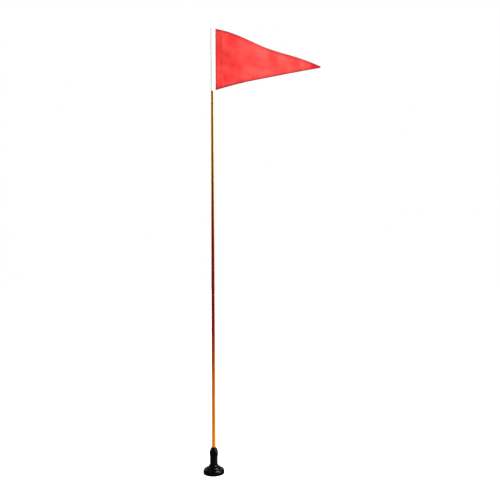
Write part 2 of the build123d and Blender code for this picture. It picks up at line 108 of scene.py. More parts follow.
# ---------------------------------------------------------------- numeric helpers
def curve_through(points):
    """A smooth function of one value that passes through the points (natural cubic spline)."""
    xs = np.array([p[0] for p in points], float)
    ys = np.array([p[1] for p in points], float)
    gaps = np.diff(xs)
    count = len(xs)
    system = np.eye(count)
    right = np.zeros(count)
    for i in range(1, count - 1):
        system[i, i - 1 : i + 2] = gaps[i - 1], 2 * (gaps[i - 1] + gaps[i]), gaps[i]
        right[i] = 6 * ((ys[i + 1] - ys[i]) / gaps[i] - (ys[i] - ys[i - 1]) / gaps[i - 1])
    bend = np.linalg.solve(system, right)

    def value(x):
        x = np.clip(np.asarray(x, float), xs[0], xs[-1])
        i = np.clip(np.searchsorted(xs, x) - 1, 0, count - 2)
        left, gap = x - xs[i], gaps[i]
        rest = gap - left
        curve = (bend[i] * rest**3 + bend[i + 1] * left**3) / (6 * gap)
        from_left = (ys[i] / gap - bend[i] * gap / 6) * rest
        from_right = (ys[i + 1] / gap - bend[i + 1] * gap / 6) * left
        return curve + (from_left + from_right)

    return value


def smooth_step(x, low, high):
    t = np.clip((np.asarray(x, float) - low) / (high - low), 0, 1)
    return t * t * (3 - 2 * t)


top_weave = curve_through(TOP_WEAVE)
wave = curve_through(WAVE)


def share_of_length(x):
    """0 at the hoist and 1 at the tip."""
    return np.clip((x - HOIST) / FLAG_LENGTH, 0, 1)


def top_edge(x):
    line = FLAG_HEIGHT + (TIP_TOP - FLAG_HEIGHT) * share_of_length(x)
    return flag_low.z + line + top_weave((x - HOIST) / MM) * MM


def bottom_edge(x):
    share = share_of_length(x)
    return flag_low.z + TIP_BOTTOM * share + 4 * BOTTOM_BOW * share * (1 - share)


# ---------------------------------------------------------------- mesh helpers
def make_object(name, points, faces, smooth=True):
    mesh = bpy.data.meshes.new(name)
    mesh.from_pydata([tuple(p) for p in points], [], faces)
    mesh.validate()
    mesh.update()
    if smooth:
        mesh.polygons.foreach_set("use_smooth", [True] * len(mesh.polygons))
    piece = bpy.data.objects.new(name, mesh)
    bpy.context.scene.collection.objects.link(piece)
    return piece


def unit(vectors):
    return vectors / np.linalg.norm(vectors, axis=-1, keepdims=True)


def thread_tubes(name, paths, outs, radius=THREAD):
    """Short threads: each path is a row of points, and outs point away from the cloth."""
    paths, outs = np.asarray(paths, float), np.asarray(outs, float)
    along = unit(np.gradient(paths, axis=1))
    side = unit(np.cross(outs, along))
    up = np.cross(along, side)
    count, rings = paths.shape[:2]
    width = np.full(rings, radius)
    width[[0, -1]] = 0.4 * radius
    angles = 2 * math.pi * np.arange(THREAD_SIDES) / THREAD_SIDES
    spokes = side[:, :, None] * np.cos(angles)[:, None] + up[:, :, None] * np.sin(angles)[:, None]
    points = paths[:, :, None] + spokes * width[None, :, None, None]
    index = np.arange(count * rings * THREAD_SIDES).reshape(count, rings, THREAD_SIDES)
    after = np.roll(index, -1, axis=2)
    walls = np.stack([index[:, :-1], after[:, :-1], after[:, 1:], index[:, 1:]], axis=-1).reshape(-1, 4)
    ends = np.concatenate([index[:, 0, ::-1], index[:, -1]])
    return make_object(name, points.reshape(-1, 3), walls.tolist() + ends.tolist())


def stitches(name, runs):
    """Rows of short threads lying on a surface. Each run is (points, outward normals)."""
    paths, outs = [], []
    for path, normals in runs:
        path, normals = np.asarray(path, float), np.asarray(normals, float)
        steps = np.linalg.norm(np.diff(path, axis=0), axis=1)
        run = np.concatenate([[0], np.cumsum(steps)])
        count = max(1, int(run[-1] / STITCH_PITCH))
        for middle in (np.arange(count) + 0.5) * run[-1] / count:
            places = middle + STITCH_LENGTH * np.linspace(-0.5, 0.5, 5)
            line = np.stack([np.interp(places, run, path[:, axis]) for axis in range(3)], axis=-1)
            out = np.stack([np.interp(places, run, normals[:, axis]) for axis in range(3)], axis=-1)
            paths.append(line + out * STITCH_ARCH[:, None] * THREAD)
            outs.append(out)
    return thread_tubes(name, paths, outs)


# ---------------------------------------------------------------- material helpers
RANGE_SOCKETS = ("From Min", "From Max", "To Min", "To Max")


class Shader:
    """A material whose nodes are added by kind, with inputs given by name."""

    def __init__(self, name, **principled):
        self.material = bpy.data.materials.new(name)
        self.material.use_nodes = True
        self.tree = self.material.node_tree
        self.surface = self.tree.nodes["Principled BSDF"]
        self.output = self.tree.nodes["Material Output"]
        self.place = self.tree.nodes.new("ShaderNodeTexCoord").outputs["Object"]
        for socket, value in principled.items():
            self.surface.inputs[socket.replace("_", " ")].default_value = value

    def add(self, kind, settings=None, **inputs):
        node = self.tree.nodes.new("ShaderNode" + kind)
        for key, value in (settings or {}).items():
            setattr(node, key, value)
        for socket, value in inputs.items():
            self.feed(node.inputs[socket.replace("_", " ")], value)
        return node

    def feed(self, socket, value):
        if isinstance(value, bpy.types.NodeSocket):
            self.tree.links.new(value, socket)
        else:
            socket.default_value = value

    def stretch(self, scale):
        """Object coordinates, scaled on each axis."""
        return self.add("Mapping", Vector=self.place, Scale=scale).outputs["Vector"]

    def noise(self, scale, detail=2.0, stretch=(1, 1, 1), roughness=0.5):
        node = self.add("TexNoise", Vector=self.stretch(stretch), Scale=scale)
        node.inputs["Detail"].default_value = detail
        node.inputs["Roughness"].default_value = roughness
        return node.outputs["Fac"]

    def math(self, operation, first, second=0.0):
        node = self.add("Math", {"operation": operation})
        for socket, value in zip(node.inputs, (first, second)):
            self.feed(socket, value)
        return node.outputs["Value"]

    def span(self, value, low, high, to_low=0.0, to_high=1.0):
        node = self.add("MapRange", {"clamp": True}, Value=value)
        for socket, number in zip(RANGE_SOCKETS, (low, high, to_low, to_high)):
            self.feed(node.inputs[socket], number)
        return node.outputs["Result"]

    def mix(self, share, first, second, blend="MIX"):
        node = self.add("Mix", {"data_type": "RGBA", "blend_type": blend})
        self.feed(node.inputs["Factor"], share)
        self.feed(node.inputs[6], first)
        self.feed(node.inputs[7], second)
        return node.outputs[2]

    def ramp(self, value, stops):
        node = self.add("ValToRGB", Fac=value)
        elements = node.color_ramp.elements
        while len(elements) < len(stops):
            elements.new(0.5)
        for element, (position, colour) in zip(elements, stops):
            element.position = position
            element.color = (*colour, 1)
        return node.outputs["Color"]

    def bump(self, height, distance, strength=1.0, normal=None):
        node = self.add("Bump", Height=height, Distance=distance, Strength=strength)
        if normal is not None:
            self.feed(node.inputs["Normal"], normal)
        return node.outputs["Normal"]

    def axes(self):
        node = self.add("SeparateXYZ", Vector=self.place)
        return node.outputs["X"], node.outputs["Y"], node.outputs["Z"]

    def set(self, **inputs):
        for socket, value in inputs.items():
            self.feed(self.surface.inputs[socket.replace("_", " ")], value)


# ---------------------------------------------------------------- materials
def moulded_black():
    """Black moulded plastic: fine grain, slow colour drift, paler scuffs."""
    s = Shader("black_plastic", Specular_IOR_Level=0.4)
    drift = s.noise(18, 3)
    grain = s.noise(2600, 2)
    scuffs = s.span(s.noise(95, 6, (1, 1, 0.35), 0.7), 0.62, 0.8)
    base = s.mix(drift, (0.0006, 0.0006, 0.0008, 1), (0.0016, 0.0016, 0.0019, 1))
    s.set(Base_Color=s.mix(s.math("MULTIPLY", scuffs, 0.3), base, (0.02, 0.02, 0.021, 1)))
    s.set(Roughness=s.span(s.math("ADD", drift, s.math("MULTIPLY", scuffs, 0.5)), 0.2, 1.1, 0.17, 0.32))
    s.set(Normal=s.bump(grain, 0.02 * MM, 0.4, s.bump(drift, 0.25 * MM, 0.4)))
    return s.material


def black_rubber():
    s = Shader("black_rubber", Specular_IOR_Level=0.35)
    bloom = s.noise(40, 4)
    grain = s.noise(1800, 3)
    s.set(Base_Color=s.mix(bloom, (0.0008, 0.0008, 0.0009, 1), (0.0026, 0.0026, 0.0028, 1)))
    s.set(Roughness=s.span(bloom, 0.3, 0.7, 0.36, 0.5))
    s.set(Normal=s.bump(grain, 0.03 * MM, 0.5))
    return s.material


def plated_steel():
    s = Shader("plated_steel", Metallic=1.0)
    turning = s.noise(900, 2, (1, 1, 14))
    s.set(Base_Color=s.mix(s.noise(60, 3), (0.5, 0.51, 0.53, 1), (0.66, 0.66, 0.64, 1)))
    s.set(Roughness=s.span(turning, 0.3, 0.7, 0.24, 0.4))
    s.set(Normal=s.bump(turning, 0.02 * MM, 0.5))
    return s.material


def cast_weight():
    s = Shader("cast_weight")
    sand = s.noise(420, 5, roughness=0.65)
    s.set(Base_Color=s.mix(s.noise(30, 3), (0.03, 0.03, 0.031, 1), (0.06, 0.055, 0.05, 1)))
    s.set(Roughness=s.span(sand, 0.3, 0.7, 0.6, 0.85), Normal=s.bump(sand, 0.35 * MM, 0.7))
    return s.material


def turned_nylon(name, dark, pale):
    s = Shader(name)
    marks = s.noise(500, 2, (1, 1, 22))
    s.set(Base_Color=s.mix(s.noise(70, 3), (*dark, 1), (*pale, 1)))
    s.set(Roughness=s.span(marks, 0.3, 0.7, 0.34, 0.52), Normal=s.bump(marks, 0.03 * MM, 0.5))
    return s.material


def turned_brass():
    s = Shader("brass_washer", Metallic=1.0)
    marks = s.noise(800, 2, (1, 1, 18))
    s.set(Base_Color=s.mix(s.noise(90, 3), (0.55, 0.36, 0.12, 1), (0.74, 0.53, 0.22, 1)))
    s.set(Roughness=s.span(marks, 0.3, 0.7, 0.22, 0.36), Normal=s.bump(marks, 0.02 * MM, 0.5))
    return s.material


def drawn_aluminium():
    s = Shader("bare_aluminium", Metallic=1.0)
    lines = s.noise(1500, 2, (1, 1, 0.01))
    s.set(Base_Color=s.mix(lines, (0.68, 0.69, 0.7, 1), (0.82, 0.82, 0.82, 1)))
    s.set(Roughness=s.span(lines, 0.3, 0.7, 0.24, 0.38), Normal=s.bump(lines, 0.02 * MM, 0.4))
    return s.material


def amber_fibreglass():
    """Fibreglass under a clear coat, with fibres along it. Its colour along the stick is painted light
    and shade:
    brown at the top, maroon below the middle and orange at the foot. A painted rim light makes its edges
    paler and golden."""
    s = Shader("amber_fibreglass", Coat_Weight=0.3, Coat_Roughness=0.06, Specular_IOR_Level=0.04)
    height = s.span(s.axes()[2], 0.0, 2.0)
    # Painted light and shade along the stick: brown at the top, dark maroon below the middle, orange at
    # the foot.
    tint_with_painted_shade = s.ramp(
        height,
        [
            (0.05, (0.6, 0.15, 0.008)),
            (0.14, (0.52, 0.115, 0.005)),
            (0.2, (0.42, 0.08, 0.002)),
            (0.27, (0.26, 0.03, 0.001)),
            (0.34, (0.12, 0.004, 0.0006)),
            (0.43, (0.08, 0.001, 0.0004)),
            (0.56, (0.08, 0.002, 0.0004)),
            (0.66, (0.09, 0.012, 0.0004)),
            (0.74, (0.1, 0.03, 0.001)),
            (0.9, (0.13, 0.05, 0.004)),
        ],
    )
    # Painted rim light: a paler, golden colour for the stick's edges, where the surface turns away from
    # the camera.
    rim = s.ramp(
        height,
        [
            (0.05, (0.72, 0.5, 0.13)),
            (0.2, (0.62, 0.37, 0.12)),
            (0.34, (0.4, 0.11, 0.06)),
            (0.56, (0.5, 0.17, 0.06)),
            (0.74, (0.8, 0.45, 0.11)),
            (0.9, (0.82, 0.52, 0.15)),
        ],
    )
    fibres = s.noise(850, 3, (1, 1, 0.012), 0.6)
    cloud = s.noise(26, 3, (1, 1, 0.2))
    facing = s.add("LayerWeight", Blend=0.5).outputs["Facing"]
    dark = s.mix(1.0, tint_with_painted_shade, (0.72, 0.64, 0.56, 1), "MULTIPLY")
    shade = s.math("ADD", s.math("MULTIPLY", fibres, 0.65), s.math("MULTIPLY", cloud, 0.35))
    core = s.mix(s.span(shade, 0.35, 0.62), dark, tint_with_painted_shade)
    # The painted rim light is blended in by facing, so the edges turn paler and golden.
    s.set(Base_Color=s.mix(s.span(facing, 0.14, 0.6), core, rim))
    s.set(Roughness=s.span(fibres, 0.3, 0.7, 0.22, 0.32))
    s.set(Normal=s.bump(fibres, 0.02 * MM, 0.35))
    s.set(Coat_Normal=s.bump(s.noise(60, 2, (1, 1, 0.3)), 0.05 * MM, 0.25))
    return s.material


def weave_height(s, across, up, pitch):
    """Height of a plain weave: two sets of threads that pass over each other in turn."""
    turns = math.pi / pitch
    wave_a = s.math("SINE", s.math("MULTIPLY", across, turns))
    wave_b = s.math("SINE", s.math("MULTIPLY", up, turns))
    over = s.math("MULTIPLY", wave_a, wave_b)
    rib_a = s.math("ABSOLUTE", s.math("COSINE", s.math("MULTIPLY", across, turns)))
    rib_b = s.math("ABSOLUTE", s.math("COSINE", s.math("MULTIPLY", up, turns)))
    ribs = s.math("ADD", rib_a, rib_b)
    return s.math("ADD", s.math("MULTIPLY", over, 0.3), s.math("MULTIPLY", ribs, 0.35))


def red_nylon():
    """Thin red nylon: a fine weave, see-through where one layer thick, deeper where folded."""
    s = Shader("red_nylon", Specular_IOR_Level=0.12, Sheen_Weight=0.05, Sheen_Roughness=0.5)
    across, _, up = s.axes()
    layers = s.add("Attribute", {"attribute_name": "layers"}).outputs["Fac"]
    folded = s.span(layers, 0.0, 2.0)
    weave = weave_height(s, across, up, NYLON_WEAVE)
    slubs = s.noise(240, 3, (1, 1, 0.06))
    cross_slubs = s.noise(240, 3, (0.06, 1, 1))
    cloud = s.noise(14, 4, roughness=0.6)
    single = s.mix(s.span(cloud, 0.34, 0.66), (0.83, 0.039, 0.035, 1), (0.88, 0.09, 0.08, 1))
    uneven = s.math("MULTIPLY", s.math("ADD", slubs, cross_slubs), 0.18)
    tone = s.mix(uneven, single, (0.78, 0.027, 0.025, 1))
    deep = s.mix(folded, tone, (0.44, 0.004, 0.009, 1))
    s.set(Base_Color=deep, Roughness=s.span(slubs, 0.3, 0.7, 0.6, 0.75))
    s.set(Sheen_Tint=(1.0, 0.55, 0.5, 1))
    s.set(Normal=s.bump(weave, 0.06 * MM, 0.45, s.bump(slubs, 0.08 * MM, 0.3)))
    glow = s.add("BsdfTranslucent", Color=(0.8, 0.045, 0.04, 1)).outputs["BSDF"]
    both = s.add("MixShader", Fac=s.span(folded, 0.0, 1.0, 0.28, 0.04))
    s.tree.links.new(s.surface.outputs["BSDF"], both.inputs[1])
    s.tree.links.new(glow, both.inputs[2])
    s.tree.links.new(both.outputs["Shader"], s.output.inputs["Surface"])
    return s.material


def white_canvas():
    s = Shader("white_canvas", Specular_IOR_Level=0.2, Sheen_Weight=0.15)
    across, depth, up = s.axes()
    around = s.math("ARCTAN2", depth, across)
    arc = s.math("MULTIPLY", around, CANVAS_RADIUS)
    outward = s.math("ADD", arc, s.math("MULTIPLY", across, 0.6))
    weave = weave_height(s, outward, up, CANVAS_WEAVE)
    slubs = s.noise(300, 3, (1, 1, 0.08))
    s.set(Base_Color=s.mix(slubs, (0.6, 0.6, 0.6, 1), (0.68, 0.68, 0.67, 1)))
    s.set(Roughness=0.75, Normal=s.bump(weave, 0.1 * MM, 0.6, s.bump(slubs, 0.1 * MM, 0.3)))
    return s.material


def sewing_thread(name, dark, pale):
    s = Shader(name, Specular_IOR_Level=0.3, Sheen_Weight=0.2)
    twist = s.noise(3200, 2)
    s.set(Base_Color=s.mix(twist, (*dark, 1), (*pale, 1)), Roughness=0.6)
    s.set(Normal=s.bump(twist, 0.05 * MM, 0.5))
    return s.material


MATERIALS = {
    "black_plastic": moulded_black(),
    "black_rubber": black_rubber(),
    "plated_steel": plated_steel(),
    "cast_weight": cast_weight(),
    "grey_nylon": turned_nylon("grey_nylon", (0.16, 0.16, 0.17), (0.24, 0.24, 0.25)),
    "white_plastic": turned_nylon("white_plastic", (0.76, 0.76, 0.75), (0.86, 0.86, 0.85)),
    "brass_washer": turned_brass(),
    "bare_aluminium": drawn_aluminium(),
    "amber_fibreglass": amber_fibreglass(),
    "red_nylon": red_nylon(),
    "white_canvas": white_canvas(),
}
RED_THREAD = sewing_thread("red_thread", (0.5, 0.01, 0.012), (0.75, 0.03, 0.03))
# Painted shade: the edge thread is dark so that it draws a shaded line along the pennant's free edges
# and at the seam to the sleeve.
EDGE_THREAD_WITH_PAINTED_SHADE = sewing_thread("edge_thread_with_painted_shade", (0.1, 0.012, 0.02), (0.22, 0.022, 0.03))
WHITE_THREAD = sewing_thread("white_thread", (0.7, 0.7, 0.7), (0.88, 0.88, 0.87))


def finish_cad_nodes():
    """Gives each CAD node the material of its slot in the record."""
    for part in frame["record"]["subparts"]:
        node = frame["nodes"][part["node"]]
        node.data.materials.clear()
        node.data.materials.append(MATERIALS[part["material_slot"]])


def add_piece(piece, material):
    """Gives a sewn piece its material, and lets it turn with the flag."""
    piece.data.materials.append(material)
    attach(piece, "flag")
    return piece


# ---------------------------------------------------------------- pennant
def base_wave(x):
    """How far the cloth's middle stands towards +Y before the folds are added."""
    return wave((x - HOIST) / MM) * MM


def fold_field(x, z):
    """Soft slanting folds in the millimetres from the hoist and from the pennant's lowest point."""
    across, up = (x - HOIST) / MM, (z - flag_low.z) / MM
    height = np.zeros(np.broadcast(x, z).shape)
    for middle_x, middle_z, lean, half_width, half_length, rise in FOLDS:
        turn = math.radians(lean)
        along = (across - middle_x) * math.cos(turn) + (up - middle_z) * math.sin(turn)
        beside = (up - middle_z) * math.cos(turn) - (across - middle_x) * math.sin(turn)
        height -= rise * np.exp(-((beside / half_width) ** 2) - (along / half_length) ** 2)
    share = (x - HOIST) / FLAG_LENGTH
    return height * smooth_step(share, 0.0, FOLD_START) * MM


def surface(x, z):
    return base_wave(x) + fold_field(x, z)


def edge_distance(x, z):
    """Distances from the top edge and from the bottom edge, square to each edge."""
    step = 1 * MM
    slope_top = (top_edge(x + step) - top_edge(x - step)) / (2 * step)
    slope_bottom = (bottom_edge(x + step) - bottom_edge(x - step)) / (2 * step)
    from_top = (top_edge(x) - z) / np.sqrt(1 + slope_top**2)
    from_bottom = (z - bottom_edge(x)) / np.sqrt(1 + slope_bottom**2)
    return from_top, from_bottom


def ply(distance, width):
    """1 within the width of a fold, with a short ramp at its inner edge and a dip at its stitches."""
    inside = 1 - smooth_step(distance, width - 0.5 * MM, width + 0.1 * MM)
    dip = np.exp(-(((distance - width + STITCH_INSET) / (0.8 * MM)) ** 2))
    return inside * (1 - 0.45 * dip)


def cloth_layers(x, z):
    """Half thickness of the cloth and the number of extra layers at a point."""
    from_top, from_bottom = edge_distance(x, z)
    top_hem, bottom_hem = ply(from_top, HEM_WIDTH), ply(from_bottom, HEM_WIDTH)
    band = ply(x - HOIST, BAND_WIDTH)
    patch = ply(FLY - x, TIP_PATCH)
    extra = top_hem + bottom_hem + 1.7 * patch
    half = CLOTH / 2 + ((top_hem + bottom_hem) * HEM_PLY + (band + patch) * BAND_PLY) / 2
    nearest = np.minimum(np.minimum(from_top, from_bottom), FLY - x)
    rounding = np.sqrt(np.clip(1 - (1 - np.clip(nearest / EDGE_ROUND, 0, 1)) ** 2, 0, 1))
    return half * rounding, extra + 0.12 * band


# Where the pennant's mesh has its points: even columns and rows, with closer ones where the
# cloth changes its thickness. In millimetres from the feature that they follow.
COLUMN_GAP = 3.2 * MM
BESIDE_BAND = (-0.6, -0.1, 0.4)
BESIDE_PATCH = (-0.4, 0.1, 0.6, 1.4, 2.2, 3.0)
BESIDE_FLY = (0.15, 0.45)
CLOSEST_COLUMNS = 0.35 * MM
SEWN_IN = 0.8 * MM  # how far the cloth reaches into the sleeve
HEM_ROWS = (0, 0.12, 0.4, 0.9, 3.2, 6.5, 9.2, 9.9, 10.5, 11.1, 11.9, 12.25, 12.55, 12.9)
HEM_ROWS_STRETCH = 1.12
HEM_ROWS_SHARE = 0.46  # most of the height that one hem's rows may take near the tip
MIDDLE_ROWS = 42


def columns():
    start = HOIST - SEWN_IN
    marks = [HOIST, HOIST + BAND_WIDTH - STITCH_INSET, FLY - EDGE_ROUND]
    fine = [HOIST + BAND_WIDTH + d * MM for d in BESIDE_BAND]
    fine += [FLY - TIP_PATCH + d * MM for d in BESIDE_PATCH]
    close_tip = [FLY - d * MM for d in BESIDE_FLY]
    even = list(np.arange(start, FLY, COLUMN_GAP)) + [FLY]
    wanted = marks + fine + close_tip
    kept = [x for x in even if all(abs(x - w) > CLOSEST_COLUMNS for w in wanted)]
    return np.array(sorted(kept + wanted))


def levels(x):
    """Heights across the pennant at x: close together in the hems, even between them."""
    inset = np.array(HEM_ROWS) * MM
    low, high = float(bottom_edge(x)), float(top_edge(x))
    room = high - low
    inset = inset * min(HEM_ROWS_STRETCH, HEM_ROWS_SHARE * room / inset[-1])
    middle = np.linspace(low + inset[-1], high - inset[-1], MIDDLE_ROWS + 2)[1:-1]
    return np.concatenate([low + inset, middle, (high - inset)[::-1]])


def build_pennant(displace):
    """A closed two-sided cloth. The two sides meet in a rounded edge all the way round."""
    xs = columns()
    grid_z = np.array([levels(x) for x in xs])
    grid_x = np.repeat(xs[:, None], grid_z.shape[1], axis=1)
    grid_y = displace(grid_x, grid_z)
    half, extra = cloth_layers(grid_x, grid_z)
    middle = np.stack([grid_x, grid_y, grid_z], axis=-1)
    along = np.gradient(middle, axis=0)
    upward = np.gradient(middle, axis=1)
    normal = unit(np.cross(upward, along))
    rows, cols = grid_x.shape
    front = middle - normal * half[..., None]
    back = middle + normal * half[..., None]
    border = np.zeros((rows, cols), bool)
    border[0] = border[-1] = True
    border[:, 0] = border[:, -1] = True
    points = list(front.reshape(-1, 3))
    values = list(extra.reshape(-1))
    front_index = np.arange(rows * cols).reshape(rows, cols)
    back_index = front_index.copy()
    for i in range(rows):
        for j in range(cols):
            if border[i, j]:
                points[front_index[i, j]] = middle[i, j]
            else:
                back_index[i, j] = len(points)
                points.append(back[i, j])
                values.append(extra[i, j])
    faces = []
    for i in range(rows - 1):
        for j in range(cols - 1):
            corners = [(i, j), (i + 1, j), (i + 1, j + 1), (i, j + 1)]
            faces.append(tuple(int(front_index[c]) for c in corners))
            faces.append(tuple(int(back_index[c]) for c in reversed(corners)))
    piece = make_object("pennant_cloth", points, faces)
    layers = piece.data.attributes.new("layers", "FLOAT", "POINT")
    layers.data.foreach_set("value", np.array(values, np.float32))
    return piece


def surface_run(xs, zs, displace, side):
    """Points and outward normals of a line on one side of the cloth."""
    step = 0.5 * MM
    y = displace(xs, zs)
    slope_x = (displace(xs + step, zs) - displace(xs - step, zs)) / (2 * step)
    slope_z = (displace(xs, zs + step) - displace(xs, zs - step)) / (2 * step)
    normal = unit(np.stack([-slope_x, np.ones_like(xs), -slope_z], axis=-1) * side)
    half, _ = cloth_layers(xs, zs)
    return np.stack([xs, y, zs], axis=-1) + normal * half[..., None], normal


HEM_STITCHES_END = 28 * MM  # from the tip
SECOND_ROW = 3.5 * MM  # from the first row of the hoist band's stitches


def pennant_stitching(displace):
    runs = []
    inset = HEM_WIDTH - STITCH_INSET
    hem_x = np.arange(HOIST + 1 * MM, FLY - HEM_STITCHES_END, 2 * MM)
    slope = 1 * MM
    for edge, way in ((top_edge, -1), (bottom_edge, 1)):
        lean = np.sqrt(1 + ((edge(hem_x + slope) - edge(hem_x - slope)) / (2 * slope)) ** 2)
        for side in (-1, 1):
            runs.append(surface_run(hem_x, edge(hem_x) + way * inset * lean, displace, side))
    band_row = HOIST + BAND_WIDTH - STITCH_INSET
    upright = [band_row, band_row - SECOND_ROW, FLY - TIP_PATCH + STITCH_INSET]
    for x in upright:
        up = np.arange(float(bottom_edge(x)) + 2 * MM, float(top_edge(x)) - 2 * MM, 2 * MM)
        for side in (-1, 1):
            runs.append(surface_run(np.full_like(up, x), up, displace, side))
    return stitches("pennant_stitches", runs)


# One wrap of the overlock: its points from one side of the cloth over the edge to the other
WRAP_INSETS = (4.6, 2.8, 1.1, -0.2, 1.1, 2.8, 4.6)  # millimetres in from the edge
WRAP_SIDES = (-1, -1, -1, 0, 1, 1, 1)
WRAP_LEAN = 0.45  # millimetres along the edge, either way
WRAP_SHARE = 0.48  # most of the height that one wrap may take near the tip
OVERLOCK_START = 1.2 * MM
OVERLOCK_END = 0.6 * MM  # from the tip

# The row that sews the pennant to the sleeve: each thread crosses the seam
SEAM_REACH = (1.5, 2.1, 3.1, 4.1, 4.7)  # millimetres from the hoist
SEAM_LIFT = (-0.5, 0.5, 0.7, 0.5, -0.5)  # thread radii over the cloth
SEAM_SLANT = 0.15
SEAM_MARGIN = 3 * MM


def overlock(displace):
    """Thread wrapped over the pennant's two free edges, and a row that sews it to the sleeve.
    Its dark colour is painted shade along the edges and at the seam.
    """
    paths, outs = [], []
    insets = np.array(WRAP_INSETS) * MM
    slides = np.linspace(-WRAP_LEAN, WRAP_LEAN, len(WRAP_INSETS)) * MM
    for edge, way in ((top_edge, -1), (bottom_edge, 1)):
        x = np.arange(HOIST + OVERLOCK_START, FLY - OVERLOCK_END, EDGE_PITCH)
        slope = (edge(x + 1 * MM) - edge(x - 1 * MM)) / (2 * MM)
        length = np.sqrt(1 + slope**2)
        room = np.minimum(1, WRAP_SHARE * (top_edge(x) - bottom_edge(x)) / insets[0])
        loop, out = [], []
        for inset, slide, side in zip(insets, slides, WRAP_SIDES):
            inward = np.stack([-way * slope, np.full_like(x, way)]) / length
            tangent = np.stack([np.ones_like(x), slope]) / length
            at_x = np.minimum(x + tangent[0] * slide + inward[0] * inset * room, FLY)
            at_z = edge(x) + tangent[1] * slide + inward[1] * inset * room
            if side:
                point, normal = surface_run(at_x, at_z, displace, side)
                point = point + normal * EDGE_THREAD_RADIUS * 0.5
            else:
                point = np.stack([at_x, displace(at_x, at_z), at_z], axis=-1)
                normal = np.stack([-inward[0], np.zeros_like(x), -inward[1]], axis=-1)
            loop.append(point)
            out.append(normal)
        paths.append(np.stack(loop, axis=1))
        outs.append(np.stack(out, axis=1))
    for side in (-1, 1):
        z = np.arange(flag_low.z + SEAM_MARGIN, flag_high.z - SEAM_MARGIN, EDGE_PITCH)
        across = np.array(SEAM_REACH) * MM
        runs = [
            surface_run(np.full_like(z, HOIST + a), z + SEAM_SLANT * a, displace, side) for a in across
        ]
        lift = np.array(SEAM_LIFT) * EDGE_THREAD_RADIUS
        rows = np.stack([point + normal * up for (point, normal), up in zip(runs, lift)], axis=1)
        normals = np.stack([normal for _, normal in runs], axis=1)
        pad = [(0, 0), (1, 1), (0, 0)]
        paths.append(np.pad(rows, pad, mode="reflect", reflect_type="odd"))
        outs.append(np.pad(normals, pad, mode="edge"))
    return thread_tubes("edge_overlock", np.concatenate(paths), np.concatenate(outs), EDGE_THREAD_RADIUS)


# ---------------------------------------------------------------- settling of the cloth
SETTLE_SHARE = 0.94  # how far towards the tip the sheet is simulated
SETTLE_COLUMNS = 96
SETTLE_ROWS = 40
SETTLE_FRAMES = 26
SETTLE_CAP = 9 * MM  # most that the simulation may move a point
SETTLE_SMOOTHING = 3  # rounds
TIP_HELD_FROM = 0.84  # share of the length
HEM_HOLD = 0.6
HELD_MARGIN = 0.05  # share of the length and of the height


def settled(displace):
    """Cloth simulation: a sheet cut a little too full for its outline, held at the hoist, at the
    tip and loosely along its hems, finds its own small folds. Returns the new depth function."""
    shares = np.linspace(0, SETTLE_SHARE, SETTLE_COLUMNS)
    rises = np.linspace(0, 1, SETTLE_ROWS)
    grid_x = np.repeat(HOIST + shares[:, None] * FLAG_LENGTH, SETTLE_ROWS, axis=1)
    low, high = bottom_edge(grid_x), top_edge(grid_x)
    grid_z = low + (high - low) * rises
    grid_y = displace(grid_x, grid_z)
    index = np.arange(grid_x.size).reshape(grid_x.shape)
    faces = np.stack([index[:-1, :-1], index[1:, :-1], index[1:, 1:], index[:-1, 1:]], axis=-1)
    places = np.stack([grid_x, grid_y, grid_z], axis=-1).reshape(-1, 3)
    sheet = make_object("sheet", places, faces.reshape(-1, 4).tolist())
    hoist_hold = 1 - smooth_step(shares, 0.0, HELD_MARGIN)
    tip_hold = smooth_step(shares, TIP_HELD_FROM, SETTLE_SHARE)
    edge_hold = HEM_HOLD * (1 - smooth_step(np.minimum(rises, 1 - rises), 0.0, HELD_MARGIN))
    hold = np.maximum(np.maximum(hoist_hold, tip_hold)[:, None], edge_hold[None, :])
    group = sheet.vertex_groups.new(name="held")
    for vertex, weight in enumerate(hold.reshape(-1)):
        group.add([vertex], float(weight), "REPLACE")
    cloth = sheet.modifiers.new("cloth", "CLOTH")
    settings = cloth.settings
    settings.quality = 7
    settings.mass = 0.02
    settings.tension_stiffness = settings.compression_stiffness = 12
    settings.shear_stiffness = 4
    settings.bending_stiffness = 0.4
    settings.air_damping = 2
    settings.vertex_group_mass = "held"
    settings.pin_stiffness = 2
    settings.shrink_min = -0.008
    settings.effector_weights.gravity = 0.15
    cloth.collision_settings.use_collision = False
    scene = bpy.context.scene
    for frame_number in range(1, SETTLE_FRAMES + 1):
        scene.frame_set(frame_number)
    result = sheet.evaluated_get(bpy.context.evaluated_depsgraph_get()).data
    places = np.empty(len(result.vertices) * 3, np.float32)
    result.vertices.foreach_get("co", places)
    depth = places.reshape(SETTLE_COLUMNS, SETTLE_ROWS, 3)[..., 1]
    scene.frame_set(1)
    bpy.data.objects.remove(sheet)
    change = np.clip(depth - grid_y, -SETTLE_CAP, SETTLE_CAP)
    for _ in range(SETTLE_SMOOTHING):
        change[1:-1] = (change[:-2] + 2 * change[1:-1] + change[2:]) / 4
        change[:, 1:-1] = (change[:, :-2] + 2 * change[:, 1:-1] + change[:, 2:]) / 4

    def settled_surface(x, z):
        floor, roof = bottom_edge(x), top_edge(x)
        column = np.clip((x - HOIST) / FLAG_LENGTH / SETTLE_SHARE, 0, 1) * (SETTLE_COLUMNS - 1)
        row = np.clip((z - floor) / np.maximum(roof - floor, 1e-6), 0, 1) * (SETTLE_ROWS - 1)
        i = np.minimum(column.astype(int), SETTLE_COLUMNS - 2)
        j = np.minimum(row.astype(int), SETTLE_ROWS - 2)
        s, t = column - i, row - j
        s, t = s * s * (3 - 2 * s), t * t * (3 - 2 * t)
        near = change[i, j] * (1 - t) + change[i, j + 1] * t
        far = change[i + 1, j] * (1 - t) + change[i + 1, j + 1] * t
        return displace(x, z) + near * (1 - s) + far * s

    return settled_surface


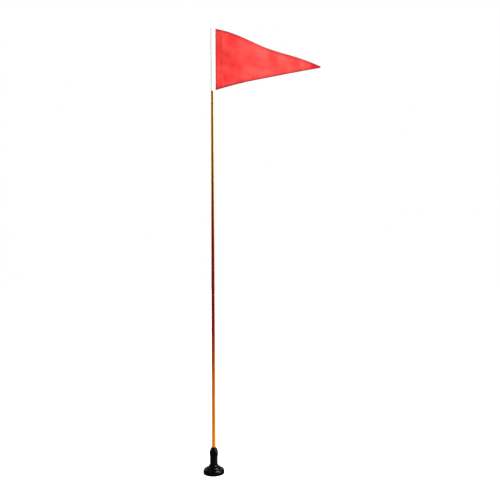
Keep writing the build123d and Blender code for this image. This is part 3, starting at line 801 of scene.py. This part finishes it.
# ---------------------------------------------------------------- header sleeve
SLEEVE_OUTER = 7.45 * MM
SLEEVE_INNER = 6.42 * MM
TAIL_HALF = 1.15 * MM
TAIL_STITCH = 11.2 * MM  # first row of stitches, from the axis
TAIL_ROW_GAP = 3.6 * MM
TAIL_DIP = 0.86  # share of the tail's thickness left where the stitches pull it in
TAIL_END = sleeve_high.x
TAIL_CORNER = 0.6  # length of the tail's rounded end, in half thicknesses
TAIL_LEAVES = math.radians(38)  # where the canvas leaves the tube for the tail
SLEEVE_HEM = 9 * MM
SLEEVE_HEM_PLY = 0.28 * MM
SLEEVE_HEM_STITCH = 7.4 * MM
SLEEVE_HEM_DIP = 0.16 * MM
SLEEVE_EDGE_ROUND = 0.3 * MM


def sleeve_half_section():
    """One side of the sleeve's section, from its back over the tube to the tail's end."""
    arc = [math.pi + (TAIL_LEAVES - math.pi) * t for t in np.linspace(0, 1, 26)]
    points = [(SLEEVE_OUTER * math.cos(a), SLEEVE_OUTER * math.sin(a)) for a in arc]
    x0, y0 = points[-1]
    slope = -1 / math.tan(TAIL_LEAVES)
    for t in np.linspace(0, 1, 9)[1:]:
        width = TAIL_STITCH - x0
        keep, drop = 2 * t**3 - 3 * t**2 + 1, t**3 - 2 * t**2 + t
        y = y0 * keep + slope * width * drop + TAIL_HALF * TAIL_DIP * (1 - keep)
        points.append((x0 + width * t, y))
    reach = TAIL_END - TAIL_HALF * TAIL_CORNER
    for t in np.linspace(0, 1, 6)[1:]:
        swell = TAIL_DIP + (1 - TAIL_DIP) * math.sin(math.pi * min(1, t * 1.3) / 2)
        points.append((TAIL_STITCH + (reach - TAIL_STITCH) * t, TAIL_HALF * swell))
    for angle in (60, 30):
        a = math.radians(angle)
        points.append((reach + TAIL_HALF * TAIL_CORNER * math.cos(a), TAIL_HALF * math.sin(a)))
    return points


def tail_ripple(x, z):
    """How far the sewn tail waves sideways."""
    return 0.22 * MM * np.sin(z / 0.0145 + 0.8) * smooth_step(x, 10 * MM, TAIL_END)


def build_sleeve():
    half = sleeve_half_section()
    outline = half + [(TAIL_END, 0)] + [(x, -y) for x, y in reversed(half[1:])]
    count = len(outline)
    low, high = sleeve_low.z, sleeve_high.z
    height = high - low
    near = np.array([0, 0.3, 0.8, 2.5, 5, 6.6, 7.4, 8.2, 8.9, 9.3]) * MM
    between = np.linspace(low + SLEEVE_HEM + 2 * MM, high - SLEEVE_HEM - 2 * MM, 92)
    zs = np.concatenate([low + near, between, (high - near)[::-1]])
    points = []
    for z in zs:
        end = min(z - low, high - z)
        inside_hem = 1 - smooth_step(end, SLEEVE_HEM - 0.5 * MM, SLEEVE_HEM + 0.2 * MM)
        swell = SLEEVE_HEM_PLY * inside_hem
        swell -= SLEEVE_EDGE_ROUND * (1 - smooth_step(end, 0, 0.8 * MM))
        swell -= SLEEVE_HEM_DIP * math.exp(-(((end - SLEEVE_HEM_STITCH) / (0.7 * MM)) ** 2))
        for k, (x, y) in enumerate(outline):
            angle = math.atan2(y, x)
            broad = 0.08 * math.sin(z / 0.0087 + 2 * math.sin(angle))
            fine = 0.05 * math.sin(z / 0.0031 + 3 * angle)
            tail = smooth_step(x, 6 * MM, TAIL_STITCH)
            grow = swell + (1 - 0.7 * tail) * (broad + fine) * MM
            if x < 7 * MM:
                away = math.cos(angle), math.sin(angle)
            else:
                away = 0, np.sign(y)
            points.append((x + away[0] * grow, y + away[1] * grow + tail_ripple(x, z) * tail, z))
    inner_first = len(points)
    angles = [math.pi - 2 * math.pi * k / count for k in range(count)]
    for z in (low, high):
        points += [(SLEEVE_INNER * math.cos(a), SLEEVE_INNER * math.sin(a), z) for a in angles]
    faces = []
    for row in range(len(zs) - 1):
        for k in range(count):
            after = (k + 1) % count
            a, b = row * count, (row + 1) * count
            faces.append((a + after, a + k, b + k, b + after))
    top = (len(zs) - 1) * count
    for k in range(count):
        after = (k + 1) % count
        inner_low, inner_high = inner_first, inner_first + count
        faces.append((inner_low + k, inner_low + after, inner_high + after, inner_high + k))
        faces.append((k, after, inner_low + after, inner_low + k))
        faces.append((top + after, top + k, inner_high + k, inner_high + after))
    return make_object("sleeve_canvas", points, faces)


def sleeve_stitching():
    runs = []
    up = np.arange(sleeve_low.z + 2 * MM, sleeve_high.z - 2 * MM, 3 * MM)
    for x, share in ((TAIL_STITCH, TAIL_DIP), (TAIL_STITCH + TAIL_ROW_GAP, 1)):
        for side in (-1, 1):
            y = side * TAIL_HALF * share + tail_ripple(x, up)
            path = np.stack([np.full_like(up, x), y, up], axis=-1)
            runs.append((path, np.tile([0, side, 0], (len(up), 1))))
    around = np.linspace(math.radians(48), math.radians(312), 60)
    for z in (sleeve_low.z + SLEEVE_HEM_STITCH, sleeve_high.z - SLEEVE_HEM_STITCH):
        ring = np.stack([np.cos(around), np.sin(around), np.zeros_like(around)], axis=-1)
        runs.append((ring * (SLEEVE_OUTER + 0.12 * MM) + [0, 0, z], ring))
    return stitches("sleeve_stitches", runs)


def sew_flag():
    depth = settled(surface)
    cloth = add_piece(build_pennant(depth), MATERIALS["red_nylon"])
    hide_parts("pennant")
    add_piece(pennant_stitching(depth), RED_THREAD)
    add_piece(overlock(depth), EDGE_THREAD_WITH_PAINTED_SHADE)
    canvas = add_piece(build_sleeve(), MATERIALS["white_canvas"])
    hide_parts("header_sleeve")
    add_piece(sleeve_stitching(), WHITE_THREAD)


# ---------------------------------------------------------------- studio
CAMERA_DISTANCE = 3.069  # from the stick's axis
CAMERA_HEIGHT = 1.068
CAMERA_SIDE = 0.1775
CAMERA_LENS = 46.16  # millimetres
CAMERA_SENSOR = 36
CAMERA_ROLL = 0.26  # degrees
ROOM_LIGHT = 0.5
BACKDROP_SPAN = (0.1, 0.95)  # how far a reflection points behind the object
BACKDROP_GLOSS = (0.002, 0.35)  # how bright the room is there
FLOOR_GLOW = (0.45, 1.1)  # at the foot and far away
FLOOR_GLOW_REACH = (0.5, 2.2)  # the distances at which it starts and stops growing
FLOOR_HALF_WIDTH = 14


def add_camera():
    camera = bpy.data.objects.new("camera", bpy.data.cameras.new("camera"))
    bpy.context.scene.collection.objects.link(camera)
    camera.data.sensor_width = CAMERA_SENSOR
    camera.data.lens = CAMERA_LENS
    camera.location = (CAMERA_SIDE, -CAMERA_DISTANCE, CAMERA_HEIGHT)
    camera.rotation_euler = (math.radians(90), math.radians(CAMERA_ROLL), 0)
    bpy.context.scene.camera = camera


def add_softbox(name, place, target, size, power, seen_in_reflections=True):
    data = bpy.data.lights.new(name, "AREA")
    data.shape = "RECTANGLE"
    data.size, data.size_y = size
    data.energy = power
    light = bpy.data.objects.new(name, data)
    bpy.context.scene.collection.objects.link(light)
    light.location = place
    light.rotation_euler = (Vector(target) - Vector(place)).to_track_quat("-Z", "Y").to_euler()
    light.visible_glossy = seen_in_reflections


def add_world():
    """A white room to the camera and for soft light. In reflections it is bright only behind
    the object, so that black stays black and the stick gets pale rims."""
    world = bpy.data.worlds.new("studio")
    bpy.context.scene.world = world
    world.use_nodes = True
    nodes, links = world.node_tree.nodes, world.node_tree.links
    background = nodes["Background"]
    direction = nodes.new("ShaderNodeSeparateXYZ")
    links.new(nodes.new("ShaderNodeTexCoord").outputs["Generated"], direction.inputs[0])
    behind = nodes.new("ShaderNodeMapRange")
    links.new(direction.outputs["Y"], behind.inputs["Value"])
    for socket, value in zip(RANGE_SOCKETS, (*BACKDROP_SPAN, *BACKDROP_GLOSS)):
        behind.inputs[socket].default_value = value
    path = nodes.new("ShaderNodeLightPath")
    unlit = nodes.new("ShaderNodeMix")
    links.new(path.outputs["Is Glossy Ray"], unlit.inputs[0])
    unlit.inputs[2].default_value = ROOM_LIGHT
    links.new(behind.outputs["Result"], unlit.inputs[3])
    seen = nodes.new("ShaderNodeMix")
    links.new(path.outputs["Is Camera Ray"], seen.inputs[0])
    links.new(unlit.outputs[0], seen.inputs[2])
    seen.inputs[3].default_value = 1.0
    links.new(seen.outputs[0], background.inputs["Strength"])
    background.inputs["Color"].default_value = (1, 1, 1, 1)


def add_floor():
    """A white floor. To the camera it glows a little, so that it meets the background without
    a line, and only a faint shadow stays under the foot; in reflections it is dark."""
    size = FLOOR_HALF_WIDTH
    corners = [(-size, -size, 0), (size, -size, 0), (size, size, 0), (-size, size, 0)]
    floor = make_object("studio_floor", corners, [(0, 1, 2, 3)], smooth=False)
    s = Shader("pale_floor", Roughness=0.9, Specular_IOR_Level=0.0)
    path = s.add("LightPath").outputs
    pale = s.mix(s.noise(3, 2), (0.86, 0.86, 0.86, 1), (0.9, 0.9, 0.9, 1))
    s.set(Base_Color=s.mix(path["Is Glossy Ray"], pale, (0.02, 0.02, 0.02, 1)))
    away = s.add("VectorMath", {"operation": "LENGTH"}, Vector=s.place).outputs["Value"]
    glow = s.span(away, *FLOOR_GLOW_REACH, *FLOOR_GLOW)
    s.set(Emission_Color=(1, 1, 1, 1), Emission_Strength=s.math("MULTIPLY", path["Is Camera Ray"], glow))
    floor.data.materials.append(s.material)


def set_up_studio():
    add_world()
    add_floor()
    add_camera()
    add_softbox("key", (3.6, -2.6, 2.8), (0.2, 0, 1.3), (1.4, 2.6), 190, seen_in_reflections=False)
    add_softbox("rim", (-2.8, 1.0, 1.6), (0, 0, 1.1), (1.2, 2.6), 75, seen_in_reflections=False)
    add_softbox("top", (1.9, -0.9, 3.0), (0, 0, 0), (1.1, 1.1), 75)
    add_softbox("strip", (2.4, -0.6, 0.7), (0, 0, 0.3), (0.3, 1.6), 14)
    add_softbox("edge", (-1.8, -1.6, 1.4), (0, 0, 0.1), (0.4, 0.6), 1.0)
    bpy.context.scene.view_settings.view_transform = "Standard"


finish_cad_nodes()
sew_flag()
set_up_studio()
